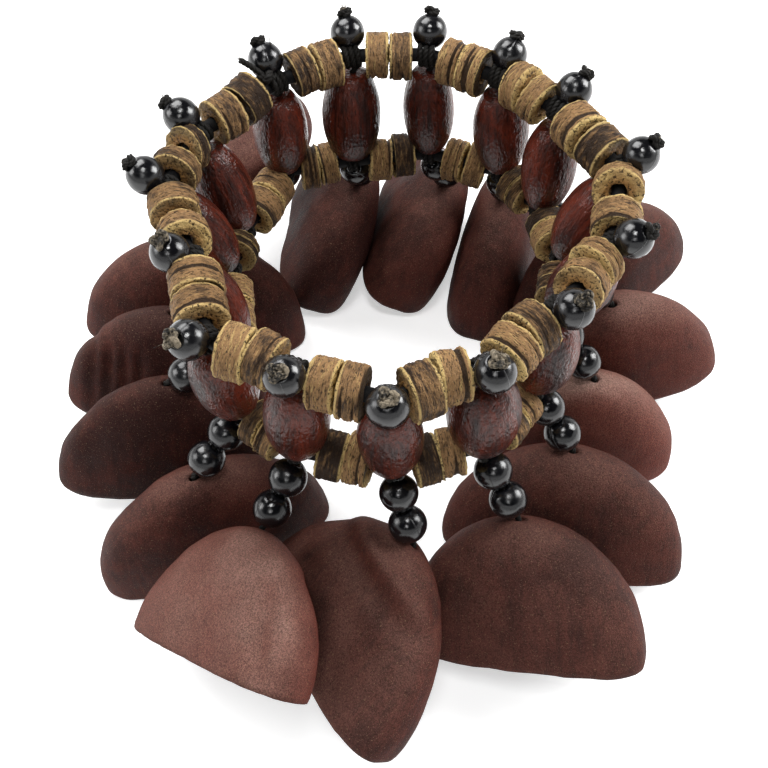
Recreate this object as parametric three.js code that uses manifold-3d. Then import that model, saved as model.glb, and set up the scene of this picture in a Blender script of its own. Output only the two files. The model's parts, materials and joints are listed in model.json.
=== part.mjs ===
// Wrist shaker: two elastics strung with coconut discs hold a ring of upright wooden beads,
// and each wooden bead's cord goes on down to a half nut shell that hangs free and rattles.
// Millimetres, +Z up. The shells' rims stand on z = 0.
import * as THREE from "three";
import { mergeVertices } from "three/addons/utils/BufferGeometryUtils.js";
import Module from "manifold-3d";

const wasm = await Module();
wasm.setup();

// Cuff
const upperElasticHeight = 60.6;
const elasticDiameter = 1.6;
const discDiameter = 8;
const upperDiscThickness = 3.1;
const lowerDiscThickness = 3;
const discSpacing = 0.2;
const upperCordGap = 6.2;
const lowerCordGap = 7.4;

// Wooden beads, upright between the elastics
const woodLength = 16.8;
const woodDiameter = 9.4;
const woodEndDiameter = 3.2;
const woodBore = 1.5;
const woodSeat = 3.3;

// Black beads, their cords and knots
const blackDiameter = 6;
const blackSpacing = 0.2;
const topBeadOut = 2.6;
const topBeadUp = 2.8;
const cordDiameter = 0.9;
const topKnotDiameter = 2.2;
const shellKnotDiameter = 3.2;
const tieKnotDiameter = 3.6;
const tieTailLength = 5;
const tieTailSpread = 40;

// Nut shells
const shellWall = 1.5;
const shellHole = 2.6;
const shellDrop = 4.2;
const longProfile = 1.9;
const shortProfile = 2.3;

// Fits
const clearance = 0.3;
const beadPlay = 0.05;
const sunk = 0.4;
const smallest = 0.05;

// Facets
const discSides = 9;
const cordSides = 4;
const beadSides = 8;
const beadRings = 5;
const woodSides = 9;
const woodRings = 5;
const shellSides = 16;
const outerRings = 4;
const innerRings = 3;

// Times that a chain's lean and length are worked out in turn
const settlingPasses = 8;

// One row for each station, clockwise from the back of the cuff. Angles in degrees, sizes in mm.
// bearing, ring: place of the cord on the upper elastic
// woodIn, woodSide: lean of the wooden bead's lower end, inwards and along the ring
// chainSweep: turn of the hanging chain away from straight outwards
// chainLeast: the least that the chain leans out, where its shell meets the shells beside it
// lean, sweep, roll: the shell's tilt from upright, the side it tilts to, and its turn on its own axis
// width, thickness, height: the shell's mouth, long way and short way, and its depth
// rest: height of the shell's lowest edge above the table
const columns = [
  "bearing", "ring", "woodIn", "woodSide", "chainSweep", "chainLeast",
  "lean", "sweep", "roll", "width", "thickness", "height", "rest",
];
const rows = [
  [100, 35, 8, 3, -22, 41, 25, 65, -15, 41, 17, 25, 0],
  [78, 35, 3, -3, -25, 36, 25, 90, 5, 40, 17, 24, 0],
  [55, 34, -2, -5, 20, 36, 0, 0, 20, 42, 16.5, 25.5, 0],
  [34, 34.5, 4, -3, -8, 57, 15, -15, -5, 42, 17, 25, 0],
  [8, 37, 17, 2, -20, 49, 13, 0, -10, 39, 17, 25, 0],
  [-18, 34.5, 15, 5, -20, 41, 0, 0, 5, 38, 15.5, 27, 0],
  [-44, 32, 3, 3, 5, 38, 20, -50, 25, 44, 16, 24, 0],
  [-69, 34, -1, 3, 20, 38, 40, -18, 43, 41, 17, 24, 0],
  [-92, 36.5, 4, 1, 25, 32, 50, -50, 10, 44, 17, 26, 0],
  [-114, 34.5, -2, -3, -15, 44, 70, 5, 70, 40, 16, 22, 7],
  [-136, 37, 6, -1, -8, 47, 0, 0, -22, 44, 15, 27.5, 0],
  [-160, 32, 8, 6, -18, 65, 12, 0, -15, 40, 13.5, 28, 0],
  [174, 35.5, 18, -4, 20, 56, 14, 40, 8, 40, 14.5, 27, 0],
  [153, 35, 14, 0, -5, 56, 12, 55, 30, 46, 17, 26, 0],
  [124, 34, -3, 0, -25, 55, 70, 10, -60, 38, 17, 20, 14],
];

const finishes = {
  shell: { color: 0x54352e, roughness: 0.7, metalness: 0 },
  wood: { color: 0x4a1a10, roughness: 0.35, metalness: 0 },
  disc: { color: 0x8a6a3a, roughness: 0.8, metalness: 0 },
  black: { color: 0x101010, roughness: 0.25, metalness: 0 },
};

const up = new THREE.Vector3(0, 0, 1);
const radians = THREE.MathUtils.degToRad;
const discRadius = discDiameter / 2;
const blackRadius = blackDiameter / 2;
const cordRadius = cordDiameter / 2;
const elasticRadius = elasticDiameter / 2;

// How far down its chain each black bead hangs from the lower elastic
const discCorner = (blackRadius + clearance) ** 2 - (lowerCordGap / 2) ** 2;
const firstBeadDrop = discRadius + Math.sqrt(Math.max(discCorner, 0)) + clearance;
const secondBeadDrop = firstBeadDrop + blackDiameter + blackSpacing;

// Each chain's loop round the lower elastic, and the upright cord that ends just above it
const loopRadius = elasticRadius + 2 * clearance + cordRadius;
const uprightLength = woodLength + 2 * woodSeat - loopRadius - cordRadius - clearance;

// Closed geometry to a solid, with shared vertices merged and collapsed triangles dropped
function solidFrom(geometry) {
  const bare = new THREE.BufferGeometry();
  bare.setAttribute("position", geometry.getAttribute("position"));
  bare.setIndex(geometry.getIndex());
  const merged = mergeVertices(bare, 1e-4);
  const corners = merged.getIndex().array;
  const kept = [];
  for (let i = 0; i < corners.length; i += 3) {
    const [a, b, c] = corners.slice(i, i + 3);
    if (a !== b && b !== c && c !== a) kept.push(a, b, c);
  }
  const vertProperties = new Float32Array(merged.getAttribute("position").array);
  return new wasm.Manifold(new wasm.Mesh({ numProp: 3, vertProperties, triVerts: new Uint32Array(kept) }));
}

function meshFrom(name, solid, finish) {
  const { numProp, vertProperties, triVerts } = solid.getMesh();
  const count = vertProperties.length / numProp;
  const places = new Float32Array(count * 3);
  for (let i = 0; i < count; i++) {
    places.set(vertProperties.subarray(i * numProp, i * numProp + 3), i * 3);
  }
  const geometry = new THREE.BufferGeometry();
  geometry.setAttribute("position", new THREE.BufferAttribute(places, 3));
  geometry.setIndex(new THREE.BufferAttribute(new Uint32Array(triVerts), 1));
  geometry.computeVertexNormals();
  const mesh = new THREE.Mesh(geometry, new THREE.MeshStandardMaterial(finish));
  mesh.name = name;
  return mesh;
}

const at = (start, direction, distance) => start.clone().addScaledVector(direction, distance);
const join = (geometries) => {
  const whole = geometries.map(solidFrom).reduce((sum, piece) => sum.add(piece));
  return whole.asOriginal().simplify(smallest);
};

// Turns a geometry's own +Z to a direction, then moves it to a point
function place(geometry, direction, point) {
  geometry.applyQuaternion(new THREE.Quaternion().setFromUnitVectors(up, direction));
  return geometry.translate(point.x, point.y, point.z);
}

function rod(from, to, radius, sides) {
  const along = new THREE.Vector3().subVectors(to, from);
  const geometry = new THREE.CylinderGeometry(radius, radius, along.length(), sides);
  geometry.rotateX(Math.PI / 2);
  const middle = new THREE.Vector3().addVectors(from, to).multiplyScalar(0.5);
  return place(geometry, along.normalize(), middle);
}

function ball(point, radius, sides, rings) {
  return new THREE.SphereGeometry(radius, sides, rings).translate(point.x, point.y, point.z);
}

// Surface through rings of points, closed round each ring and from the last ring to the first
function loft(rings) {
  const sides = rings[0].length;
  const places = rings.flat().flatMap((point) => point.toArray());
  const corners = [];
  rings.forEach((ring, i) => {
    const next = (i + 1) % rings.length;
    ring.forEach((point, j) => {
      const a = i * sides + j;
      const b = i * sides + ((j + 1) % sides);
      const c = next * sides + j;
      const d = next * sides + ((j + 1) % sides);
      corners.push(a, c, b, b, c, d);
    });
  });
  const geometry = new THREE.BufferGeometry();
  geometry.setAttribute("position", new THREE.Float32BufferAttribute(places, 3));
  geometry.setIndex(corners);
  return geometry;
}

// Direction of a closed run of points at one of its corners
function tangentAt(points, i) {
  const count = points.length;
  const into = new THREE.Vector3().subVectors(points[i], points[(i + count - 1) % count]).normalize();
  const out = new THREE.Vector3().subVectors(points[(i + 1) % count], points[i]).normalize();
  return into.add(out).normalize();
}

// Closed elastic, straight from each cord to the next
function elasticLoop(points) {
  const rings = points.map((point, i) => {
    const tangent = tangentAt(points, i);
    const side = new THREE.Vector3().crossVectors(tangent, up).normalize();
    const top = new THREE.Vector3().crossVectors(side, tangent);
    const ring = [];
    for (let j = 0; j < cordSides; j++) {
      const turn = (2 * Math.PI * j) / cordSides;
      const offset = side.clone().multiplyScalar(elasticRadius * Math.cos(turn));
      offset.addScaledVector(top, elasticRadius * Math.sin(turn));
      ring.push(offset.add(point));
    }
    return ring;
  });
  return loft(rings);
}

// Discs side by side on an elastic, as many as fit between each pair of cords
function discsOn(points, thickness, cordGap) {
  return points.flatMap((point, i) => {
    const next = points[(i + 1) % points.length];
    const along = new THREE.Vector3().subVectors(next, point);
    const room = along.length() - cordGap;
    along.normalize();
    const count = Math.floor((room + discSpacing) / (thickness + discSpacing));
    return Array.from({ length: count }, (unused, k) => {
      const disc = new THREE.CylinderGeometry(discRadius, discRadius, thickness, discSides);
      disc.rotateX(Math.PI / 2);
      return place(disc, along, at(point, along, cordGap / 2 + (room * (k + 0.5)) / count));
    });
  });
}

// Barrel bead with its bore: a long oval cut off square at both ends
function woodenBead() {
  const half = woodLength / 2;
  const widest = woodDiameter / 2;
  const oval = half / Math.sqrt(1 - (woodEndDiameter / woodDiameter) ** 2);
  const profile = [new THREE.Vector2(woodBore / 2, -half)];
  for (let i = 0; i <= woodRings; i++) {
    const height = -half * Math.cos((Math.PI * i) / woodRings);
    profile.push(new THREE.Vector2(widest * Math.sqrt(1 - (height / oval) ** 2), height));
  }
  profile.push(new THREE.Vector2(woodBore / 2, half));
  profile.push(profile[0].clone());
  return new THREE.LatheGeometry(profile, woodSides).rotateX(Math.PI / 2);
}

// Half nut shell, mouth down, with the hole's outer edge at the origin
function nutShell({ width, height, thickness }) {
  const hole = shellHole / 2;
  const ring = (long, short, z) => {
    const points = [];
    for (let j = 0; j < shellSides; j++) {
      const turn = (2 * Math.PI * j) / shellSides;
      points.push(new THREE.Vector3(long * Math.cos(turn), short * Math.sin(turn), z));
    }
    return points;
  };
  const wallRing = (part, inset) => {
    const long = (1 - (1 - part) ** longProfile) ** (1 / longProfile);
    const short = (1 - (1 - part) ** shortProfile) ** (1 / shortProfile);
    const depth = inset + part * (height - inset);
    return ring(long * (width / 2 - inset), short * (thickness / 2 - inset), -depth);
  };
  const spread = (i, count) => 1 - Math.cos((Math.PI / 2) * (i / count));
  const rings = [ring(hole, hole, 0)];
  for (let i = 1; i <= outerRings; i++) rings.push(wallRing(spread(i, outerRings), 0));
  for (let i = innerRings; i >= 1; i--) rings.push(wallRing(spread(i, innerRings), shellWall));
  rings.push(ring(hole, hole, -shellWall));
  return loft(rings);
}

// Directions outwards and along the ring at a point of the cuff
function ringFrame(point) {
  const outwards = new THREE.Vector3(point.x, point.y, 0).normalize();
  return { outwards, along: new THREE.Vector3().crossVectors(up, outwards) };
}

// Downward direction that leans from upright towards a bearing counted from outwards
function leaning({ outwards, along }, lean, sweep) {
  const side = outwards.clone().multiplyScalar(Math.cos(sweep)).addScaledVector(along, Math.sin(sweep));
  return side.multiplyScalar(Math.sin(lean)).addScaledVector(up, -Math.cos(lean));
}

// How far from the shell's hole a black bead must be, along a direction, to stay off the outer wall
function standOff(station, direction) {
  const wall = nutShell(station);
  const places = wall.getAttribute("position");
  const corners = wall.getIndex().array.slice(0, 6 * outerRings * shellSides);
  let least = Infinity;
  for (let i = 0; i < corners.length; i += 3) {
    const [a, b, c] = [0, 1, 2].map((k) => new THREE.Vector3().fromBufferAttribute(places, corners[i + k]));
    const normal = new THREE.Triangle(a, b, c).getNormal(new THREE.Vector3());
    const facing = normal.dot(direction);
    if (facing > 0) least = Math.min(least, (blackRadius + beadPlay + normal.dot(a)) / facing);
  }
  return least;
}

// A station's chain leans out as far as the shell's height above the table asks, and at least as far
// as the shells beside its own push it. It is longer where it would press a bead on its shell
function hang(station, frame, turned, fall) {
  const upright = turned.clone().invert();
  let beadToHole = shellDrop;
  let chain;
  for (let pass = 0; pass < settlingPasses; pass++) {
    const steepest = Math.cos(radians(station.chainLeast));
    const lean = Math.acos(Math.min(fall / (secondBeadDrop + beadToHole), steepest));
    chain = leaning(frame, lean, radians(station.chainSweep));
    const towardsBead = chain.clone().negate().transformDirection(upright);
    beadToHole = Math.max(beadToHole, standOff(station, towardsBead));
  }
  return { chain, holeDrop: secondBeadDrop + beadToHole };
}

// Works out where a station's cord, chain and shell go
function layOut(row) {
  const station = Object.fromEntries(columns.map((column, i) => [column, row[i]]));
  const turn = radians(station.bearing);
  const upper = new THREE.Vector3(Math.cos(turn), Math.sin(turn), 0).multiplyScalar(station.ring);
  upper.z = upperElasticHeight;
  const { outwards, along } = ringFrame(upper);
  const down = up.clone().negate();
  down.addScaledVector(outwards, -Math.tan(radians(station.woodIn)));
  down.addScaledVector(along, Math.tan(radians(station.woodSide))).normalize();
  const lower = upper.clone().addScaledVector(down, woodLength + 2 * woodSeat);

  const frame = ringFrame(lower);
  const axis = leaning(frame, radians(station.lean), radians(station.sweep));
  const back = axis.clone().negate();
  const long = frame.outwards.clone().addScaledVector(axis, -frame.outwards.dot(axis)).normalize();
  long.applyAxisAngle(back, radians(station.roll));
  const short = new THREE.Vector3().crossVectors(back, long);
  const turned = new THREE.Matrix4().makeBasis(long, short, back);
  const rimReach = Math.hypot((station.width / 2) * long.z, (station.thickness / 2) * short.z);
  const depth = station.height * back.z + rimReach;
  const hung = hang(station, frame, turned, lower.z - station.rest - depth);
  return { ...station, upper, lower, down, axis, turned, ...hung };
}

const stations = rows.map(layOut);
const upperPoints = stations.map((station) => station.upper);
const lowerPoints = stations.map((station) => station.lower);

// A station's upright cord, from the knot over its black bead down through its wooden bead
function uprightCord({ upper, down }) {
  const rise = ringFrame(upper).outwards.multiplyScalar(topBeadOut).addScaledVector(up, topBeadUp);
  const bead = upper.clone().add(rise);
  const knot = at(bead, rise.normalize(), blackRadius + topKnotDiameter / 2 - sunk);
  return [
    rod(knot, upper, cordRadius, cordSides),
    ball(upper, cordRadius, cordSides, 4),
    rod(upper, at(upper, down, uprightLength), cordRadius, cordSides),
    ball(bead, blackRadius, beadSides, beadRings),
    ball(knot, topKnotDiameter / 2, cordSides, 4),
  ];
}

// The knot that closes the upper elastic, with its two tails
function tieKnot() {
  const end = upperPoints[upperPoints.length - 1];
  const along = new THREE.Vector3().subVectors(upperPoints[upperPoints.length - 2], end).normalize();
  const { outwards } = ringFrame(end);
  const middle = at(at(end, along, tieKnotDiameter / 2), up, tieKnotDiameter / 2);
  const tails = [-tieTailSpread, tieTailSpread].map((spread) => {
    const aim = outwards.clone().applyAxisAngle(up, radians(spread)).add(up).normalize();
    return rod(middle, at(middle, aim, tieTailLength), cordRadius, cordSides);
  });
  return [ball(middle, tieKnotDiameter / 2, cordSides + 1, 4), ...tails];
}

// A station's hanging chain: a loop round the lower elastic, two black beads and the knot in the shell
function hangingChain({ chain, axis, holeDrop }, tangent) {
  const origin = new THREE.Vector3();
  const loop = new THREE.TorusGeometry(loopRadius, cordRadius, cordSides, beadSides);
  const hole = at(origin, chain, holeDrop);
  const knot = at(hole, axis, shellWall + clearance + shellKnotDiameter / 2);
  return [
    place(loop, tangent, origin),
    rod(at(origin, chain, loopRadius), hole, cordRadius, cordSides),
    ball(at(origin, chain, firstBeadDrop), blackRadius, beadSides, beadRings),
    ball(at(origin, chain, secondBeadDrop), blackRadius, beadSides, beadRings),
    ball(hole, cordRadius, cordSides, 4),
    rod(hole, knot, cordRadius, cordSides),
    ball(knot, shellKnotDiameter / 2, cordSides + 1, 4),
  ];
}

const shaker = new THREE.Group();
const numbered = (name, i) => name + "_" + String(i + 1).padStart(2, "0");

shaker.add(
  meshFrom(
    "upper_strand",
    join([
      elasticLoop(upperPoints),
      ...discsOn(upperPoints, upperDiscThickness, upperCordGap),
      ...stations.flatMap(uprightCord),
      ...tieKnot(),
    ]),
    finishes.disc,
  ),
  meshFrom(
    "lower_strand",
    join([elasticLoop(lowerPoints), ...discsOn(lowerPoints, lowerDiscThickness, lowerCordGap)]),
    finishes.disc,
  ),
);

stations.forEach((station, i) => {
  const wood = meshFrom(numbered("wooden_bead", i), solidFrom(woodenBead()), finishes.wood);
  wood.position.copy(station.upper).lerp(station.lower, 0.5);
  wood.quaternion.setFromUnitVectors(up, station.down.clone().negate());
  shaker.add(wood);

  const hanger = new THREE.Group();
  hanger.name = numbered("swing", i);
  hanger.position.copy(station.lower);
  const tangent = tangentAt(lowerPoints, i);
  hanger.add(meshFrom(numbered("hanging_beads", i), join(hangingChain(station, tangent)), finishes.black));

  const seat = new THREE.Group();
  seat.name = numbered("rock", i);
  seat.position.copy(station.chain).multiplyScalar(station.holeDrop);
  seat.quaternion.setFromRotationMatrix(station.turned);
  seat.add(meshFrom(numbered("nut_shell", i), solidFrom(nutShell(station)), finishes.shell));
  hanger.add(seat);
  shaker.add(hanger);
});

// Origin on the table, at the middle of the outline
const outline = new THREE.Box3().setFromObject(shaker, true);
const middle = outline.getCenter(new THREE.Vector3());
shaker.position.set(-middle.x, -middle.y, -outline.min.z);

export default shaker;
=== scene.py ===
"""Looks of a wrist shaker: discs, beads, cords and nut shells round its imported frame."""

import json
import math
import random
from functools import cache
from types import SimpleNamespace

import bpy
import numpy as np
from bpy.props import FloatProperty, FloatVectorProperty, PointerProperty
from mathutils import Matrix, Quaternion, Vector, noise


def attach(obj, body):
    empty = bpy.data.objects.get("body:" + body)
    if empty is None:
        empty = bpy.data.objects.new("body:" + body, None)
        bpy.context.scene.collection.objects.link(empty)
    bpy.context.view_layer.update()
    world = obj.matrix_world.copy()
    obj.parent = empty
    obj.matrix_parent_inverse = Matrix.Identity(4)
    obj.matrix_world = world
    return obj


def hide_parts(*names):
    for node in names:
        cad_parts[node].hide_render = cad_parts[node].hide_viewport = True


bl_info = {
    "name": "Wrist Shaker",
    "version": (1, 0, 0),
    "blender": (4, 5, 0),
    "location": "3D View > Sidebar > Shaker",
    "description": "Strings the discs, beads, cords and nut shells of a wrist shaker on its frame",
    "category": "Add Mesh",
}

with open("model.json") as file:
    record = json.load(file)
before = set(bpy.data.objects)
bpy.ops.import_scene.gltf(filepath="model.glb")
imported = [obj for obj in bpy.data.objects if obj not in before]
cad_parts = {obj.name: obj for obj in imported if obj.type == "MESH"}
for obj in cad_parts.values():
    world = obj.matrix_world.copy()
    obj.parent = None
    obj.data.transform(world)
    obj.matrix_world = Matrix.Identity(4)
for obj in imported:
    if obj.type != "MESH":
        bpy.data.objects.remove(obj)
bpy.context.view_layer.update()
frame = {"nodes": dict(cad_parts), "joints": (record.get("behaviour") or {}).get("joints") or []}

MM = 0.001
UP = Vector((0, 0, 1))
STATIONS = 15

# Where the random turns end, just short of a full one
FULL_TURN = 6.28

# Middle of the ring of stations, seen from above
RING_CENTRE = Vector((-0.00004, 0.00278, 0))

# The camera that took the photograph, fitted to the ring of top beads
LENS_MM = 44.69
CAMERA_PLACE = (-0.001811, -0.100925, 0.1699)
CAMERA_PITCH = 57.39
CAMERA_ROLL = -1.5

# The studio. A dark ceiling keeps the beads black. The floor is lifted to white where it is
# seen, and twice as much where it lies far off
FLOOR_HALF, FLOOR_HEIGHT, FLOOR_LIFT = 3.0, -0.0002, 0.5
FLOOR_FADE = (0.4, 1.2)
CEILING_HALF, CEILING_HEIGHT, CEILING_TINT = 2.2, 1.1, (0.03, 0.03, 0.03)
WORLD_LEVEL = 0.60
LAMP_TARGET = Vector((0, 0, 0.03))
LAMPS = [
    ("key_lamp", (-0.20, 0.30, 0.52), 0.38, 3.8),
    ("right_lamp", (0.46, 0.12, 0.34), 0.28, 3.4),
    ("left_lamp", (-0.50, -0.02, 0.28), 0.24, 1.0),
    ("front_lamp", (-0.06, -0.44, 0.50), 0.16, 0.45),
    ("top_lamp", (0.0, -0.12, 0.62), 0.14, 1.2),
]

# How far the textures of two copies of a piece lie apart at most, in mm
COPIES_APART = 400.0

# Threads that are twisted to a cord, the step along it, and the depth of a bead's bore
PLIES = 3
CORD_STEP = 0.24 * MM
BORE_DEPTH = 1.2 * MM

# Where on their noise waxed cord, bare cord and elastic turn grey with dust
WAXED_SHARE = 0.72
BARE_SHARE = 0.46
ELASTIC_SHARE = 0.5

# How each shell differs from a plain half nut, in order of the stations.
# left, right: roundness of its two shoulders
# full: fullness of its mouth's outline, 2 for an oval
# chips: depth of the damage on its rim in mm
# tone: how light it is, 0.5 for the usual one; the raised tones of stations 5, 6 and 10 are
# painted light on shells that face the lamps
# broad: how much wider its left end is, as a share
SHELL_FORMS = [
    (2.3, 1.9, 2.9, 0.1, 0.25, 0.22),
    (2.3, 2.0, 2.9, 0.1, 0.45, 0.22),
    (2.3, 1.8, 2.9, 0.1, 0.45, 0.20),
    (2.0, 1.8, 2.3, 0.1, 0.45, 0.04),
    (1.9, 2.0, 2.3, 0.1, 0.80, 0.00),
    (1.8, 1.9, 2.2, 0.1, 1.50, 0.00),
    (1.9, 1.9, 2.6, 0.1, 0.50, 0.00),
    (1.9, 2.0, 2.8, 0.4, 0.50, 0.00),
    (1.8, 2.0, 2.7, 0.1, 0.50, 0.00),
    (1.9, 1.8, 2.6, 0.05, 0.95, 0.00),
    (1.9, 1.9, 2.6, 0.1, 0.50, 0.00),
    (1.9, 1.9, 2.5, 0.1, 0.15, 0.00),
    (1.9, 1.9, 2.4, 0.1, 0.30, 0.00),
    (1.8, 2.0, 2.3, 0.1, 0.55, 0.00),
    (1.9, 1.9, 2.2, 0.1, 0.50, 0.10),
]

# Hollows and ridges that run up a shell's flanks, by station.
# Each has its place along the mouth, its half width, its depth and how far it drifts
# on its way down, in mm
SHELL_FOLDS = {
    8: [(-4.0, 5.0, -0.5, 0)],
    9: [(9.0, 4.5, -0.8, 0), (-6.0, 5.0, 0.5, 0)],
    10: [(12.6, 1.7, -1.2, 7.9), (17.2, 2.4, 0.5, 7.9)],
    12: [(13.0, 3.0, -0.5, 0)],
    13: [(5.2, 1.0, -0.9, 0), (8.2, 1.1, -1.3, 0), (11.3, 1.2, -1.4, 0), (14.3, 1.1, -0.9, 0)],
    14: [(3.0, 4.0, -0.5, 0)],
}

# Ridges that run along one flank of a shell with a groove below them, by station.
# Each has its side, its place and half width as shares of the way down, and its height in mm
SHELL_RIDGES = {
    9: [(-1, 0.15, 0.055, 1.3)],
}

# Pairs of upper discs that have slid apart and tipped, by the station before them.
# Each disc has its share of the usual thickness, how far its axis leans up and out,
# and how far it has slid from its end towards the other, in mm
TIPPED_DISCS = {
    5: ((0.70, 0.40, 0.0, 0.0), (0.97, 0.0, 0.0, 0.0)),
    6: ((0.62, 0.10, 0.0, 0.0), (0.78, 0.45, 0.0, 1.8)),
    12: ((0.85, -0.35, 0.0, 0.0), (0.85, -0.10, 0.0, 0.0)),
    13: ((0.90, -0.10, 0.0, 0.0), (0.66, -0.55, -0.35, 0.2)),
}

# How far a black bead's bore leans off its cord, and how long it is as a share of its width
BEAD_LEAN = 0.08
BEAD_STRETCH = (0.97, 1.03)

# Oval beads are turned by hand: how wide each is, as a share of the usual one
WOOD_WIDTHS = [
    1.14, 1.00, 1.07, 1.05, 1.08, 1.05, 1.10, 1.20, 1.04, 1.07, 1.06, 1.05, 1.05, 1.05, 1.06,
]

# How far each top knot leans outwards from straight up
KNOT_LEANS = [
    0.6, 0.7, 0.7, 0.8, 0.7, 0.9, 0.4, 0.1, 0.2, 0.5, 1.0, 0.3, 0.8, 1.3, 0.7,
]

# Stations whose top knots are worn to bare tan fibre
WORN_KNOTS = (7, 8, 9, 10, 11, 12)
STRAW_KNOT = 1


# Sizes and colours that a user would change


def length(label, words, millimetres):
    return FloatProperty(
        name=label, description=words, default=millimetres * MM, min=0, unit="LENGTH", precision=5
    )


def colour(label, words, value):
    return FloatVectorProperty(
        name=label, description=words, default=value, min=0, max=1, size=3, subtype="COLOR"
    )


class ShakerSizes(bpy.types.PropertyGroup):
    """Sizes of the strung pieces"""

    disc_diameter: length("Disc diameter", "Across a coconut disc", 7.9)
    disc_hole: length("Disc hole", "Hole through a coconut disc", 2.9)
    upper_disc: length("Upper disc", "Thickness of a disc on the upper strand", 4.0)
    lower_disc: length("Lower disc", "Thickness of a disc on the lower strand", 3.8)
    upper_room: length("Upper room", "Room left for a cord between upper discs", 5.2)
    lower_room: length("Lower room", "Room left for a cord between lower discs", 6.2)
    elastic: length("Elastic", "Diameter of the two elastics", 2.3)
    lower_lift: length("Lower lift", "How far the lower strand rides up its cords", 1.5)
    wood_length: length("Wood length", "Length of an oval wooden bead", 17.2)
    wood_diameter: length("Wood diameter", "Widest part of an oval wooden bead", 9.4)
    wood_end: length("Wood end", "Flat end of an oval wooden bead", 5.0)
    black_diameter: length("Black bead", "Diameter of a round black bead", 6.0)
    hung_diameter: length("Hanging bead", "Diameter of a hanging black bead", 6.3)
    black_bore: length("Black bore", "Hole through a round black bead", 1.2)
    top_out: length("Top bead out", "How far a top bead sits outside the strand", 2.6)
    top_up: length("Top bead up", "How far a top bead sits above the strand", 2.8)
    first_drop: length("First drop", "From the lower elastic to the first hanging bead", 4.3)
    second_drop: length("Second drop", "From the lower elastic to the second hanging bead", 10.5)
    cord: length("Cord", "Diameter of the twisted cords", 1.1)
    top_knot: length("Top knot", "Across the knot on a top bead", 3.3)
    worn_knot: length("Worn knot", "Across a knot that is worn to bare fibre", 3.6)
    shell_knot: length("Shell knot", "Across the knot inside a shell", 3.0)
    shell_wall: length("Shell wall", "Thickness of a nut shell", 1.6)


class ShakerColours(bpy.types.PropertyGroup):
    """Colours of the finishes"""

    husk_dark: colour("Husk dark", "Dark blotches of the nut shell", (0.036, 0.011, 0.009))
    husk: colour("Husk", "Nut shell", (0.078, 0.021, 0.015))
    # Painted top light: a pale colour laid on the nut shell where it faces up
    husk_top_light: colour("Husk bloom", "Dusty bloom on the nut shell", (0.158, 0.098, 0.080))
    wood_dark: colour("Wood dark", "Dark grain of the oval beads", (0.014, 0.004, 0.003))
    wood: colour("Wood", "Oval wooden beads", (0.135, 0.024, 0.012))
    disc_dark: colour("Disc dark", "Cracks and bark of the discs", (0.028, 0.015, 0.008))
    disc: colour("Disc", "Coconut discs", (0.330, 0.188, 0.082))
    # Disc pale also paints the highlight round the edge of each face
    disc_pale_and_edge_highlight: colour("Disc pale", "Worn edges and faces of the discs", (0.680, 0.485, 0.195))
    disc_core: colour("Disc core", "Faces of the discs near the hole", (0.300, 0.150, 0.045))
    plastic: colour("Plastic", "Round black beads", (0.004, 0.004, 0.005))
    cord: colour("Cord", "Waxed black cord", (0.010, 0.009, 0.008))
    cord_worn: colour("Worn cord", "Dusty fibres of the cord", (0.24, 0.200, 0.145))
    husk_speck: colour("Husk speck", "Pale specks of the nut shell", (0.300, 0.190, 0.110))
    husk_inside: colour("Husk inside", "Inside of the nut shell", (0.010, 0.006, 0.005))
    floor: colour("Floor", "Studio floor", (0.92, 0.92, 0.92))


# Where the frame puts everything


def read_stations():
    joints = {joint["name"]: joint for joint in frame["joints"]}
    found = []
    for i in range(1, STATIONS + 1):
        number = f"{i:02d}"
        lower = Vector(joints["swing_" + number]["pos_m"])
        wood = Vector(joints["spin_" + number]["pos_m"])
        hole = Vector(joints["rock_" + number]["pos_m"])
        short = Vector(joints["rock_" + number]["axis"]).normalized()
        upper = 2 * wood - lower
        outwards = upper - RING_CENTRE
        outwards.z = 0
        solid = frame["nodes"]["nut_shell_" + number].data
        corners = np.array([vertex.co for vertex in solid.vertices]) - np.array(hole)
        corners = np.unique(np.round(corners, 6), axis=0)
        back = Vector(-corners.mean(0))
        back = (back - short * back.dot(short)).normalized()
        long = short.cross(back)
        found.append(
            SimpleNamespace(
                number=number,
                upper=upper,
                lower=lower,
                wood=wood,
                rise=(upper - lower).normalized(),
                outwards=outwards.normalized(),
                hole=hole,
                chain=(hole - lower).normalized(),
                long=long,
                short=short,
                back=back,
                width=2 * np.abs(corners @ np.array(long)).max(),
                thickness=2 * np.abs(corners @ np.array(short)).max(),
                height=-(corners @ np.array(back)).min(),
            )
        )
    return found


stations = read_stations()


def tangent_at(points, i):
    """Direction of a closed run of points at one of them"""
    before = (points[i] - points[i - 1]).normalized()
    after = (points[(i + 1) % len(points)] - points[i]).normalized()
    return (before + after).normalized()


upper_points = [station.upper for station in stations]


def lifted_points(sizes):
    """Where the lower strand crosses each upright cord"""
    return [station.lower + station.rise * sizes.lower_lift for station in stations]


# Node trees


def tinted(value):
    return (*value, 1.0)


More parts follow.
